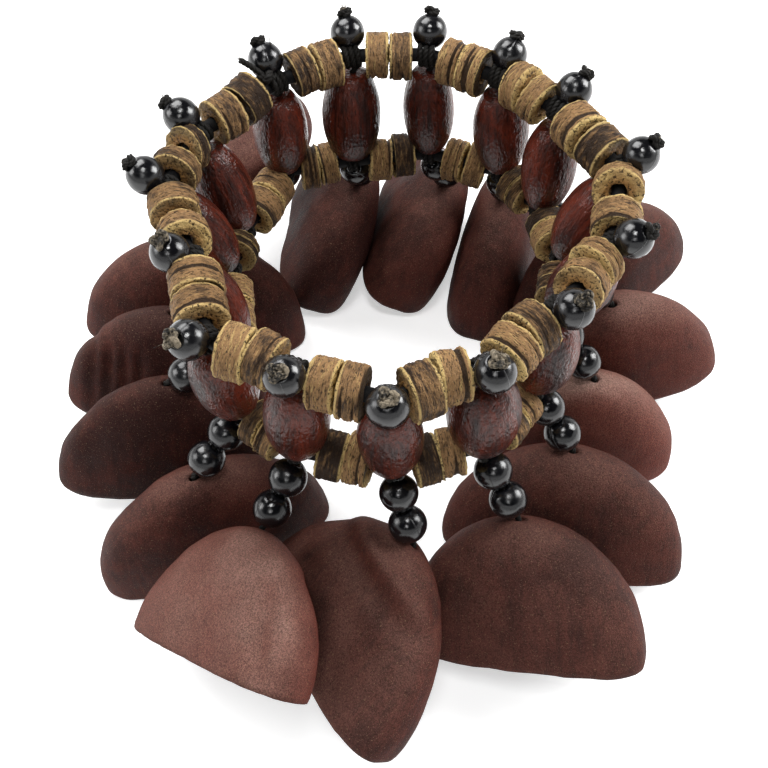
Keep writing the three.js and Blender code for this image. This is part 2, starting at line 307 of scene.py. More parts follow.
class Wiring:
    """Adds nodes to one tree and joins them"""

    def __init__(self, tree):
        self.tree = tree

    def add(self, kind, inputs=None, out=None, **settings):
        node = self.tree.nodes.new(kind)
        for key, value in settings.items():
            setattr(node, key, value)
        for key, value in (inputs or {}).items():
            socket = self.pick(node.inputs, key)
            if isinstance(value, bpy.types.NodeSocket):
                self.tree.links.new(value, socket)
            else:
                socket.default_value = value
        return self.pick(node.outputs, out) if node.outputs else node

    @staticmethod
    def pick(sockets, key):
        if isinstance(key, int):
            return sockets[key]
        return next(s for s in sockets if s.enabled and key in (None, s.name))

    def math(self, operation, *values, clamp=False):
        inputs = dict(enumerate(values))
        return self.add("ShaderNodeMath", inputs, operation=operation, use_clamp=clamp)

    def times(self, first, second, clamp=False):
        return self.math("MULTIPLY", first, second, clamp=clamp)

    def times_plus(self, value, factor, rest):
        return self.math("MULTIPLY_ADD", value, factor, rest)

    def centred(self, value):
        """Moves a noise that runs from nought to one to both sides of nought"""
        return self.math("SUBTRACT", value, 0.5)

    def plus(self, first, second):
        return self.math("ADD", first, second)

    def halved(self, value):
        return self.math("DIVIDE", value, 2.0)

    def one_minus(self, value):
        return self.math("SUBTRACT", 1.0, value)

    def join(self, value, node, key):
        self.tree.links.new(value, node.inputs[key])

    def split(self, vector):
        """The three parts of a vector"""
        parts = self.tree.nodes.new("ShaderNodeSeparateXYZ")
        self.join(vector, parts, 0)
        return parts.outputs

    def off_axis(self, vector):
        """Distance from the Z axis"""
        return self.length(self.vector("MULTIPLY", vector, (1, 1, 0)))

    def length(self, vector):
        return self.add("ShaderNodeVectorMath", {0: vector}, "Value", operation="LENGTH")

    def vector(self, operation, *values):
        return self.add("ShaderNodeVectorMath", dict(enumerate(values)), operation=operation)

    def scaled(self, vector, factor):
        inputs = {0: vector, "Scale": factor}
        return self.add("ShaderNodeVectorMath", inputs, operation="SCALE")

    def ranged(self, value, low, high, to_low=0.0, to_high=1.0, smooth=True):
        inputs = {"Value": value, 1: low, 2: high, 3: to_low, 4: to_high}
        kind = "SMOOTHSTEP" if smooth else "LINEAR"
        return self.add("ShaderNodeMapRange", inputs, interpolation_type=kind)

    def noise(self, vector, scale, detail=2.0, roughness=0.5, distortion=0.0):
        inputs = {"Vector": vector, "Scale": scale, "Detail": detail}
        inputs.update({"Roughness": roughness, "Distortion": distortion})
        return self.add("ShaderNodeTexNoise", inputs, 0)

    def mixed(self, factor, first, second, blend="MIX"):
        inputs = {"Factor": factor}
        for key, side in (("A", first), ("B", second)):
            inputs[key] = side if isinstance(side, bpy.types.NodeSocket) else tinted(side)
        return self.add("ShaderNodeMix", inputs, "Result", data_type="RGBA", blend_type=blend)


SOCKET_KINDS = {float: "NodeSocketFloat", int: "NodeSocketInt", type(None): "NodeSocketMaterial"}


def new_tree(name, **inputs):
    """An empty tree with its inputs, whose kinds follow from their usual values"""
    tree = bpy.data.node_groups.new(name, "GeometryNodeTree")
    tree.interface.new_socket("Geometry", in_out="INPUT", socket_type="NodeSocketGeometry")
    for label, default in inputs.items():
        kind = SOCKET_KINDS[type(default)]
        socket = tree.interface.new_socket(label, in_out="INPUT", socket_type=kind)
        if default is not None:
            socket.default_value = default
    tree.interface.new_socket("Geometry", in_out="OUTPUT", socket_type="NodeSocketGeometry")
    return tree, Wiring(tree), tree.nodes.new("NodeGroupInput").outputs


def end_tree(wiring, geometry, material):
    smooth = wiring.add("GeometryNodeSetShadeSmooth", {"Geometry": geometry})
    painted = wiring.add("GeometryNodeSetMaterial", {"Geometry": smooth, "Material": material})
    wiring.add("NodeGroupOutput", {"Geometry": painted})


def named(wiring, name, kind):
    return wiring.add("GeometryNodeInputNamedAttribute", {"Name": name}, data_type=kind)


def stored(wiring, geometry, name, value, kind, domain="POINT"):
    inputs = {"Geometry": geometry, "Name": name, "Value": value}
    return wiring.add("GeometryNodeStoreNamedAttribute", inputs, data_type=kind, domain=domain)


def strung(wiring, points, stamp, seed):
    """One copy of the stamp on each point, turned and swelled as the point says"""
    place = wiring.scaled(wiring.add("GeometryNodeInputPosition"), 1 / MM)
    stamp = stored(wiring, stamp, "place", place, "FLOAT_VECTOR")
    turn = wiring.add("FunctionNodeEulerToRotation", {0: named(wiring, "turn", "FLOAT_VECTOR")})
    inputs = {
        "Points": points,
        "Instance": stamp,
        "Rotation": turn,
        "Scale": named(wiring, "swell", "FLOAT_VECTOR"),
    }
    copies = wiring.add("GeometryNodeInstanceOnPoints", inputs)
    chance = wiring.add("FunctionNodeRandomValue", {"Seed": seed}, data_type="FLOAT")
    copies = stored(wiring, copies, "chance", chance, "FLOAT", "INSTANCE")
    return wiring.add("GeometryNodeRealizeInstances", {"Geometry": copies})


def own_place(wiring, stretch=(1, 1, 1)):
    """A piece's own place in millimetres, moved apart for each copy"""
    shift = wiring.times(named(wiring, "chance", "FLOAT"), COPIES_APART)
    place = wiring.vector("ADD", named(wiring, "place", "FLOAT_VECTOR"), shift)
    return wiring.vector("MULTIPLY", place, stretch)


def moved(wiring, geometry, offset):
    return wiring.add("GeometryNodeSetPosition", {"Geometry": geometry, "Offset": offset})


def pushed(wiring, geometry, amount):
    """Moves the surface along its normals"""
    return moved(wiring, geometry, wiring.scaled(wiring.add("GeometryNodeInputNormal"), amount))


def circle(wiring, sides, radius):
    inputs = {"Resolution": sides, "Radius": radius}
    return wiring.add("GeometryNodeCurvePrimitiveCircle", inputs)


def swept(wiring, line, section, **more):
    inputs = {"Curve": line, "Profile Curve": section}
    inputs.update({key.replace("_", " "): value for key, value in more.items()})
    return wiring.add("GeometryNodeCurveToMesh", inputs)


def disc_tree():
    tree, wiring, given = new_tree(
        "Coconut Discs",
        Diameter=0.008, Thickness=0.004, Hole=0.003, Rounding=0.0004, Wear=0.0005, Layers=0.0004,
        Seed=1, Material=None,
    )
    span = wiring.math("SUBTRACT", given["Diameter"], given["Hole"])
    middle = wiring.plus(given["Diameter"], given["Hole"])
    hoop = circle(wiring, 36, wiring.math("DIVIDE", middle, 4.0))
    section = wiring.add(
        "GeometryNodeCurvePrimitiveQuadrilateral",
        {"Width": wiring.halved(span), "Height": given["Thickness"]},
    )
    section = wiring.add(
        "GeometryNodeFilletCurve",
        {"Curve": section, "Count": 3, "Radius": given["Rounding"], "Limit Radius": True},
        mode="POLY",
    )
    section = wiring.add("GeometryNodeResampleCurve", {"Curve": section, "Count": 56})
    washer = swept(wiring, hoop, section)
    discs = strung(wiring, given["Geometry"], washer, given["Seed"])
    lumps = wiring.noise(own_place(wiring), 0.55, 3.0)
    bite = wiring.noise(own_place(wiring), 1.7, 2.0)
    layers = wiring.noise(own_place(wiring, (0.035, 0.035, 1.0)), 0.85, 1.0, 0.5)
    crack = wiring.ranged(layers, 0.37, 0.40, -1.0, 0.10)
    wear = wiring.times(wiring.centred(lumps), given["Wear"])
    small = wiring.times(wiring.centred(bite), given["Wear"])
    fine = wiring.noise(own_place(wiring), 3.4, 2.0, 0.6)
    small = wiring.times_plus(wiring.centred(fine), given["Wear"], small)
    lines = wiring.times(crack, given["Layers"])
    amount = wiring.plus(wiring.plus(wear, small), lines)
    end_tree(wiring, pushed(wiring, discs, amount), given["Material"])
    return tree


@cache
def bead_tree():
    tree, wiring, given = new_tree(
        "Round Beads", Diameter=0.006, Bore=0.0012, Dents=0.0001, Seed=2, Material=None
    )
    radius = wiring.halved(given["Diameter"])
    ball = wiring.add("GeometryNodeMeshUVSphere", {"Segments": 32, "Rings": 24, "Radius": radius})
    place = wiring.add("GeometryNodeInputPosition")
    height = wiring.split(place)[2]
    inner = wiring.times(given["Bore"], 0.45)
    outer = wiring.times(given["Bore"], 0.95)
    sunk = wiring.ranged(wiring.off_axis(place), inner, outer, BORE_DEPTH, 0.0)
    sign = wiring.math("SIGN", height)
    down = wiring.times(wiring.times(sunk, sign), -1.0)
    offset = wiring.add("ShaderNodeCombineXYZ", {"Z": down})
    beads = strung(wiring, given["Geometry"], moved(wiring, ball, offset), given["Seed"])
    lumps = wiring.centred(wiring.noise(own_place(wiring), 0.35))
    amount = wiring.times(lumps, given["Dents"])
    end_tree(wiring, pushed(wiring, beads, amount), given["Material"])
    return tree


def wood_tree():
    tree, wiring, given = new_tree(
        "Oval Bead",
        Length=0.017, Diameter=0.0094, End=0.0045, Unevenness=0.0003, Seed=3, Material=None,
    )
    half = wiring.halved(given["Length"])
    top = wiring.add("ShaderNodeCombineXYZ", {"Z": half})
    bottom = wiring.scaled(top, -1.0)
    spine = wiring.add("GeometryNodeCurvePrimitiveLine", {"Start": bottom, "End": top})
    spine = wiring.add("GeometryNodeResampleCurve", {"Curve": spine, "Count": 64})
    factor = wiring.add("GeometryNodeSplineParameter", None, "Factor")
    along = wiring.math("ABSOLUTE", wiring.times_plus(factor, 2.0, -1.0))
    ratio = wiring.math("DIVIDE", given["End"], given["Diameter"])
    cut = wiring.one_minus(wiring.times(ratio, ratio))
    square = wiring.times(wiring.times(along, along), cut)
    oval = wiring.math("SQRT", wiring.one_minus(square))
    edge = wiring.ranged(along, 0.965, 1.0, smooth=False)
    arc = wiring.math("SQRT", wiring.one_minus(wiring.times(edge, edge)))
    rounded = wiring.times(oval, wiring.times_plus(arc, 0.28, 0.72))
    widest = wiring.halved(given["Diameter"])
    inputs = {"Curve": spine, "Radius": wiring.times(rounded, widest)}
    spine = wiring.add("GeometryNodeSetCurveRadius", inputs)
    scale = wiring.add("GeometryNodeInputRadius")
    barrel = swept(wiring, spine, circle(wiring, 48, 1.0), Scale=scale, Fill_Caps=True)
    beads = strung(wiring, given["Geometry"], barrel, given["Seed"])
    lumps = wiring.noise(own_place(wiring, (1.0, 1.0, 0.45)), 0.22, 3.0)
    amount = wiring.times(wiring.centred(lumps), given["Unevenness"])
    end_tree(wiring, pushed(wiring, beads, amount), given["Material"])
    return tree


@cache
def cord_tree():
    tree, wiring, given = new_tree("Twisted Cord", Diameter=0.0009, Pitch=0.0022, Material=None)
    line = wiring.add("GeometryNodeMeshToCurve", {"Mesh": given["Geometry"]})
    inputs = {"Curve": line, "Length": CORD_STEP}
    line = wiring.add("GeometryNodeResampleCurve", inputs, mode="LENGTH")
    normal = wiring.add("GeometryNodeInputNormal")
    side = wiring.vector("CROSS_PRODUCT", wiring.add("GeometryNodeInputTangent"), normal)
    gone = wiring.add("GeometryNodeSplineParameter", None, "Length")
    turn = wiring.math("DIVIDE", wiring.times(gone, 2 * math.pi), given["Pitch"])
    lay = wiring.times(given["Diameter"], 0.24)
    ring = circle(wiring, 7, wiring.times(given["Diameter"], 0.27))
    plies = wiring.tree.nodes.new("GeometryNodeJoinGeometry")
    for k in range(PLIES):
        angle = wiring.plus(turn, 2 * math.pi * k / PLIES)
        first = wiring.scaled(normal, wiring.math("COSINE", angle))
        second = wiring.scaled(side, wiring.math("SINE", angle))
        offset = wiring.scaled(wiring.vector("ADD", first, second), lay)
        ply = swept(wiring, moved(wiring, line, offset), ring, Fill_Caps=True)
        wiring.join(ply, plies, 0)
    whole = wiring.add("GeometryNodeRealizeInstances", {"Geometry": plies.outputs[0]})
    end_tree(wiring, whole, given["Material"])
    return tree


@cache
def line_tree():
    tree, wiring, given = new_tree(
        "Swept Line", Diameter=0.002, Tip=1.0, Sides=12, Material=None
    )
    line = wiring.add("GeometryNodeMeshToCurve", {"Mesh": given["Geometry"]})
    factor = wiring.add("GeometryNodeSplineParameter", None, "Factor")
    taper = wiring.ranged(factor, 0.0, 1.0, 1.0, given["Tip"], smooth=False)
    ring = circle(wiring, given["Sides"], wiring.halved(given["Diameter"]))
    tube = swept(wiring, line, ring, Scale=taper, Fill_Caps=True)
    whole = wiring.add("GeometryNodeRealizeInstances", {"Geometry": tube})
    end_tree(wiring, whole, given["Material"])
    return tree


def grown(name, source, tree, **values):
    """Runs a tree on a mesh and keeps the result as a plain mesh"""
    piece = bpy.data.objects.new(name, source)
    bpy.context.scene.collection.objects.link(piece)
    modifier = piece.modifiers.new("Build", "NODES")
    modifier.node_group = tree
    for item in tree.interface.items_tree:
        if item.in_out == "INPUT" and item.name in values:
            modifier[item.identifier] = values[item.name]
    graph = bpy.context.evaluated_depsgraph_get()
    mesh = bpy.data.meshes.new_from_object(
        piece.evaluated_get(graph), preserve_all_data_layers=True, depsgraph=graph
    )
    piece.modifiers.remove(modifier)
    piece.data = mesh
    turn_outwards(mesh)
    return piece


def turn_outwards(mesh):
    """Flips a closed mesh whose faces point inwards"""
    mesh.calc_loop_triangles()
    places = np.array([vertex.co for vertex in mesh.vertices])
    corners = np.array([triangle.vertices for triangle in mesh.loop_triangles])
    a, b, c = (places[corners[:, k]] for k in range(3))
    if np.einsum("ij,ij->i", a, np.cross(b, c)).sum() < 0:
        mesh.flip_normals()


# Points and paths that the trees run on


def turned_to(axis, spin=0.0):
    return UP.rotation_difference(axis) @ Quaternion(UP, spin)


def points_mesh(name, places, turns, swells):
    mesh = bpy.data.meshes.new(name)
    mesh.from_pydata(places, [], [])
    turn = mesh.attributes.new("turn", "FLOAT_VECTOR", "POINT")
    turn.data.foreach_set("vector", [x for t in turns for x in t.to_euler("XYZ")])
    swell = mesh.attributes.new("swell", "FLOAT_VECTOR", "POINT")
    swell.data.foreach_set("vector", [x for s in swells for x in s])
    return mesh


def paths_mesh(name, paths, closed=False):
    places, edges = [], []
    for path in paths:
        start = len(places)
        places += path
        edges += [(start + k, start + k + 1) for k in range(len(path) - 1)]
        if closed:
            edges.append((len(places) - 1, start))
    mesh = bpy.data.meshes.new(name)
    mesh.from_pydata(places, edges, [])
    return mesh


def softened_ring(points, reach):
    """Closed run of straight lines with its corners rounded"""
    path = []
    for i, corner in enumerate(points):
        before = (points[i - 1] - corner).normalized() * reach
        after = (points[(i + 1) % len(points)] - corner).normalized() * reach
        for k in range(9):
            t = k / 8
            path.append(corner + before * (1 - t) ** 2 + after * t**2)
    return path


def lashing(centre, tangent, start, end, radius, turns, drift):
    """Turns of a cord round an elastic, from one direction to another"""
    a = (start - tangent * start.dot(tangent)).normalized()
    b = tangent.cross(a)
    last = math.atan2(end.dot(b), end.dot(a)) % (2 * math.pi)
    whole = 2 * math.pi * turns + last
    steps = int(whole / 0.2)
    path = []
    for k in range(steps + 1):
        angle = whole * k / steps
        aside = tangent * drift * (k / steps - 0.5)
        path.append(centre + (a * math.cos(angle) + b * math.sin(angle)) * radius + aside)
    return path


def knot_path(centre, axis, across, spin):
    """Closed three-lobed knot that lies across an axis"""
    turn = turned_to(axis, spin)
    path = []
    for k in range(60):
        t = 2 * math.pi * k / 60
        x = (math.sin(t) + 2 * math.sin(2 * t)) / 3
        y = (math.cos(t) - 2 * math.cos(2 * t)) / 3
        z = -0.30 * math.sin(3 * t)
        path.append(centre + turn @ (Vector((x, y, z)) * across / 2))
    return path


def any_way(draw):
    return Vector([draw.uniform(-1, 1) for _ in range(3)])


def curved(start, along, aside, steps):
    """A path that leaves its start along one line and bends aside"""
    return [start + along * k / steps + aside * (k / steps) ** 2 for k in range(steps + 1)]


def strand_of_hair(draw, start, along, curl):
    return curved(start, along, any_way(draw) * curl, 6)


def cone(draw, axis, spread):
    """A direction near an axis"""
    return (axis + any_way(draw) * spread).normalized()


# Finishes


def finish(name, **values):
    material = bpy.data.materials.new(name)
    material.use_nodes = True
    tree = material.node_tree
    tree.nodes.clear()
    shader = tree.nodes.new("ShaderNodeBsdfPrincipled")
    output = tree.nodes.new("ShaderNodeOutputMaterial")
    tree.links.new(shader.outputs[0], output.inputs[0])
    for key, value in values.items():
        shader.inputs[key.replace("_", " ")].default_value = value
    return material, Wiring(tree), shader


def read(wiring, name, out="Fac"):
    return wiring.add("ShaderNodeAttribute", None, out, attribute_name=name)


def bumped(wiring, shader, height, distance, strength, **values):
    """Joins a finish's relief and its other values to its shader"""
    inputs = {"Height": height, "Distance": distance, "Strength": strength}
    normal = wiring.add("ShaderNodeBump", inputs)
    for key, value in dict(values, Normal=normal, Coat_Normal=normal).items():
        wiring.join(value, shader, key.replace("_", " "))


def spread_place(wiring, stretch=(1, 1, 1)):
    """The same place as own_place gives, read by a finish"""
    shift = wiring.times(read(wiring, "chance"), COPIES_APART)
    place = wiring.vector("ADD", read(wiring, "place", "Vector"), shift)
    return wiring.vector("MULTIPLY", place, stretch)


def spread_noise(wiring, stretch, *form):
    return wiring.noise(spread_place(wiring, stretch), *form)


def shell_finish(colours):
    material, wiring, shader = finish("nut_shell_matt", Specular_IOR_Level=0.06)
    place = spread_place(wiring)
    blotch = wiring.noise(place, 0.09, 4.0, 0.6)
    streak = spread_noise(wiring, (1.0, 1.0, 0.12), 0.9, 3.0, 0.6)
    speck = wiring.noise(place, 3.6, 3.0, 0.65)
    grit = wiring.noise(place, 9.0, 2.0, 0.6)
    # Tone is each shell's own lightness; the raised tones of stations 5, 6 and 10 are painted
    # light
    tone = read(wiring, "tone")
    # Painted top light: how far the shell faces up at each point
    top_light_share = read(wiring, "top_light_share")
    inside = read(wiring, "inside")
    level = wiring.times_plus(wiring.centred(streak), 0.55, blotch)
    level = wiring.times_plus(wiring.centred(tone), 0.35, level)
    base = wiring.mixed(wiring.ranged(level, 0.28, 0.62), colours.husk_dark, colours.husk)
    # Painted top light: the husk turns pale where the shell faces up, more on the lighter shells
    top_lit = wiring.times(top_light_share, wiring.ranged(blotch, 0.3, 0.7, 0.45, 1.0))
    top_lit = wiring.times(top_lit, wiring.times_plus(tone, 1.3, 0.3), clamp=True)
    base = wiring.mixed(top_lit, base, colours.husk_top_light)
    grain = wiring.ranged(wiring.plus(speck, grit), 0.78, 1.22, 0.46, 1.54, smooth=False)
    grain = wiring.times(grain, wiring.times_plus(tone, 0.7, 0.65))
    cloud = wiring.noise(place, 0.24, 3.0, 0.65)
    cloud = wiring.ranged(cloud, 0.34, 0.66, 0.91, 1.09, smooth=False)
    grain = wiring.times(grain, cloud)
    grains = wiring.add("ShaderNodeCombineColor", {0: grain, 1: grain, 2: grain})
    base = wiring.mixed(1.0, base, grains, "MULTIPLY")
    fleck = wiring.ranged(wiring.noise(place, 5.0, 1.0), 0.66, 0.74, 0.0, 0.55)
    base = wiring.mixed(fleck, base, colours.husk_speck)
    base = wiring.mixed(wiring.times(inside, 0.75), base, colours.husk_inside)
    rough = wiring.ranged(wiring.plus(blotch, speck), 0.7, 1.3, 0.50, 0.72)
    relief = wiring.times_plus(speck, 0.6, wiring.times(grit, 0.4))
    relief = wiring.times_plus(streak, 0.5, relief)
    bumped(wiring, shader, relief, 0.00030, 0.85, Base_Color=base, Roughness=rough)
    return material


def wood_finish(colours):
    material, wiring, shader = finish(
        "mahogany_polished", Specular_IOR_Level=0.08, Coat_Weight=0.36, Coat_Roughness=0.09
    )
    grain = spread_noise(wiring, (1.0, 1.0, 0.07), 1.3, 5.0, 0.65, 0.4)
    pores = spread_noise(wiring, (1.0, 1.0, 0.16), 3.4, 2.0, 0.5)
    band = spread_noise(wiring, (1.0, 1.0, 0.25), 0.22, 2.0)
    level = wiring.times_plus(band, 0.6, wiring.times(grain, 0.7))
    base = wiring.mixed(wiring.ranged(level, 0.46, 0.88), colours.wood_dark, colours.wood)
    dark = wiring.ranged(pores, 0.30, 0.42, 0.8, 0.0)
    base = wiring.mixed(dark, base, colours.wood_dark)
    rough = wiring.ranged(grain, 0.3, 0.7, 0.42, 0.22)
    ripple = spread_noise(wiring, (1.0, 1.0, 0.6), 1.7, 2.0, 0.6)
    relief = wiring.times_plus(pores, 0.45, wiring.times(ripple, 1.1))
    bumped(wiring, shader, relief, 0.00026, 0.9, Base_Color=base, Roughness=rough)
    return material


def disc_finish(colours):
    material, wiring, shader = finish("coconut_disc", Specular_IOR_Level=0.2)
    place = spread_place(wiring)
    layers = spread_noise(wiring, (0.035, 0.035, 1.0), 0.85, 1.0, 0.5)
    bark = spread_noise(wiring, (0.16, 0.16, 1.0), 2.2, 4.0, 0.7)
    fibre = spread_noise(wiring, (0.3, 0.3, 1.6), 4.2, 3.0, 0.65)
    blotch = wiring.noise(place, 0.30, 3.0, 0.6)
    pits = wiring.noise(place, 2.4, 3.0, 0.65)
    own = read(wiring, "place", "Vector")
    chance = read(wiring, "chance")
    height = wiring.math("ABSOLUTE", wiring.split(own)[2])
    face = wiring.ranged(height, 1.60, 1.82)
    tone = wiring.times(wiring.centred(chance), 0.40)
    level = wiring.times_plus(bark, 0.75, wiring.times(blotch, 0.5))
    level = wiring.plus(level, tone)
    base = wiring.mixed(wiring.ranged(level, 0.42, 0.72), colours.disc_dark, colours.disc)
    streak = wiring.ranged(wiring.times_plus(tone, 0.5, bark), 0.58, 0.72, 0.0, 0.6)
    golden = wiring.ranged(chance, 0.45, 0.65, 0.25, 1.0)
    patch = wiring.ranged(blotch, 0.36, 0.56, 0.4, 1.0)
    pale = wiring.times(face, wiring.times(golden, patch))
    # A pale band round the edge of each face: partly worn edge, partly a painted highlight
    rim_starts = wiring.ranged(height, 1.50, 1.75)
    rim_ends = wiring.ranged(height, 1.85, 1.98, 1.0, 0.0)
    rim = wiring.times(rim_starts, rim_ends)
    pale = wiring.math("MAXIMUM", pale, wiring.times(rim, 0.8))
    base = wiring.mixed(wiring.math("MAXIMUM", pale, streak), base, colours.disc_pale_and_edge_highlight)
    core = wiring.times(face, wiring.ranged(wiring.off_axis(own), 1.7, 3.5, 0.9, 0.0))
    base = wiring.mixed(core, base, colours.disc_core)
    crack = wiring.ranged(layers, 0.36, 0.40, 1.0, 0.0)
    base = wiring.mixed(wiring.times(crack, 0.95), base, colours.disc_dark)
    dark = wiring.ranged(wiring.mixed(face, fibre, pits), 0.39, 0.47, 0.9, 0.0)
    base = wiring.mixed(dark, base, colours.disc_dark)
    rough = wiring.ranged(bark, 0.3, 0.7, 0.42, 0.75)
    relief = wiring.times_plus(fibre, 0.6, wiring.times_plus(pits, 0.8, bark))
    bumped(wiring, shader, relief, 0.00065, 1.0, Base_Color=base, Roughness=rough)
    return material


@cache
def plastic_finish(colours):
    material, wiring, shader = finish(
        "black_bead_gloss", Base_Color=tinted(colours.plastic), Specular_IOR_Level=0.60
    )
    place = spread_place(wiring)
    smear = wiring.noise(place, 0.5, 3.0, 0.6)
    scratch = spread_noise(wiring, (0.25, 4.0, 1.0), 1.4, 2.0, 0.6, 0.6)
    rough = wiring.ranged(wiring.times_plus(scratch, 0.5, smear), 0.55, 0.95, 0.09, 0.27)
    across = wiring.math("ABSOLUTE", wiring.split(read(wiring, "place", "Vector"))[0])
    seam = wiring.ranged(across, 0.03, 0.11, 1.0, 0.0)
    scuff = wiring.noise(place, 2.2, 4.0, 0.65)
    relief = wiring.times_plus(smear, 0.35, wiring.times(scratch, 0.15))
    relief = wiring.times_plus(scuff, 0.22, relief)
    relief = wiring.times_plus(seam, 0.5, relief)
    bumped(wiring, shader, relief, 0.00015, 0.6, Roughness=rough)
    return material


def cord_finish(name, dark, worn, share):
    material, wiring, shader = finish(name, Specular_IOR_Level=0.15)
    place = wiring.add("ShaderNodeTexCoord", None, "Object")
    strands = wiring.noise(place, 2600.0, 3.0, 0.6)
    dust = wiring.noise(place, 420.0, 3.0, 0.6)
    level = wiring.times_plus(strands, 0.5, wiring.times(dust, 0.6))
    base = wiring.mixed(wiring.ranged(level, share, share + 0.22), dark, worn)
    rough = wiring.ranged(dust, 0.3, 0.7, 0.45, 0.75)
    bumped(wiring, shader, strands, 0.0001, 0.8, Base_Color=base, Roughness=rough)
    return material


@cache
def waxed_cord(colours):
    return cord_finish("cord_waxed", colours.cord, colours.cord_worn, WAXED_SHARE)


# Operators


def seat(piece, body, slot, *nodes):
    """Lets a finished piece ride on its body in place of its plain solids"""
    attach(piece, body)
    if nodes:
        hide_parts(*nodes)


def settings(context):
    return context.scene.shaker_sizes, context.scene.shaker_colours


class SHAKER_OT_stage(bpy.types.Operator):
    """Add the studio floor, the lamps and the camera"""

    bl_idname = "shaker.stage"
    bl_label = "Stage"

    def execute(self, context):
        scene = context.scene
        scene.view_settings.view_transform = "Standard"
        tint = scene.shaker_colours.floor
        floor = self.add_plane("studio_floor", FLOOR_HALF, FLOOR_HEIGHT, tint)
        wiring = Wiring(floor.data.materials[0].node_tree)
        floor_shader = wiring.tree.nodes["Principled BSDF"]
        floor_shader.inputs["Emission Color"].default_value = (1, 1, 1, 1)
        away = wiring.length(wiring.add("ShaderNodeTexCoord", None, "Object"))
        looked_at = wiring.add("ShaderNodeLightPath", None, "Is Camera Ray")
        far = wiring.times(looked_at, wiring.ranged(away, *FLOOR_FADE, 0.0, FLOOR_LIFT))
        lift = wiring.times_plus(self.seen_rays(wiring), FLOOR_LIFT, far)
        wiring.join(lift, floor_shader, "Emission Strength")
        self.add_plane("studio_ceiling", CEILING_HALF, CEILING_HEIGHT, CEILING_TINT)
        self.light_world(scene)
        for name, place, size, power in LAMPS:
            self.add_lamp(name, place, size, power)
        self.add_camera(scene)
        return {"FINISHED"}

    def add_plane(self, name, half, height, tint):
        corners = [(x * half, y * half, height) for x, y in ((-1, -1), (1, -1), (1, 1), (-1, 1))]
        mesh = bpy.data.meshes.new(name)
        mesh.from_pydata(corners, [], [(0, 1, 2, 3)])
        matt = dict(Base_Color=tinted(tint), Roughness=0.9, Specular_IOR_Level=0.0)
        mesh.materials.append(finish(name, **matt)[0])
        plane = bpy.data.objects.new(name, mesh)
        bpy.context.scene.collection.objects.link(plane)
        return plane

    @staticmethod
    def seen_rays(wiring):
        """One for what is looked at, straight or in a reflection, and zero for what lights"""
        rays = wiring.tree.nodes.new("ShaderNodeLightPath").outputs
        seen = wiring.math("MAXIMUM", rays["Is Camera Ray"], rays["Is Glossy Ray"])
        return wiring.math("MAXIMUM", seen, rays["Is Transmission Ray"])

    def light_world(self, scene):
        world = bpy.data.worlds.new("studio_light")
        world.use_nodes = True
        tree = world.node_tree
        tree.nodes.clear()
        wiring = Wiring(tree)
        strength = wiring.ranged(self.seen_rays(wiring), 0.0, 1.0, WORLD_LEVEL, 1.0, smooth=False)
        light = wiring.add("ShaderNodeBackground", {"Color": (1, 1, 1, 1), "Strength": strength})
        wiring.add("ShaderNodeOutputWorld", {"Surface": light})
        scene.world = world

    def add_lamp(self, name, place, size, power):
        lamp = bpy.data.lights.new(name, "AREA")
        lamp.size = size
        lamp.energy = power
        holder = bpy.data.objects.new(name, lamp)
        holder.location = place
        aim = LAMP_TARGET - Vector(place)
        holder.rotation_euler = aim.to_track_quat("-Z", "Y").to_euler()
        bpy.context.scene.collection.objects.link(holder)

    def add_camera(self, scene):
        lens = bpy.data.cameras.new("photo_camera")
        lens.sensor_width = 36
        lens.lens = LENS_MM
        lens.clip_start = 0.005
        lens.clip_end = 20
        camera = bpy.data.objects.new("photo_camera", lens)
        pitch, roll = math.radians(CAMERA_PITCH), math.radians(CAMERA_ROLL)
        right = Vector((1, 0, 0))
        top = Vector((0, math.sin(pitch), math.cos(pitch)))
        back = Vector((0, -math.cos(pitch), math.sin(pitch)))
        across = right * math.cos(roll) + top * math.sin(roll)
        upright = top * math.cos(roll) - right * math.sin(roll)
        turn = Matrix((across, upright, back)).transposed().to_4x4()
        camera.matrix_world = Matrix.Translation(CAMERA_PLACE) @ turn
        scene.collection.objects.link(camera)
        scene.camera = camera


class SHAKER_OT_elastics(bpy.types.Operator):
    """Add the two elastics that the discs are strung on"""

    bl_idname = "shaker.elastics"
    bl_label = "Elastics"

    def execute(self, context):
        sizes, colours = settings(context)
        material = cord_finish("elastic_black", colours.plastic, colours.cord, ELASTIC_SHARE)
        runs = {"upper_elastic": upper_points, "lower_elastic": lifted_points(sizes)}
        for name, points in runs.items():
            ring = paths_mesh(name, [softened_ring(points, 2.5 * MM)], closed=True)
            values = dict(Diameter=sizes.elastic, Sides=14, Material=material)
            piece = grown(name, ring, line_tree(), **values)
            seat(piece, "cuff", "black_bead")
        return {"FINISHED"}


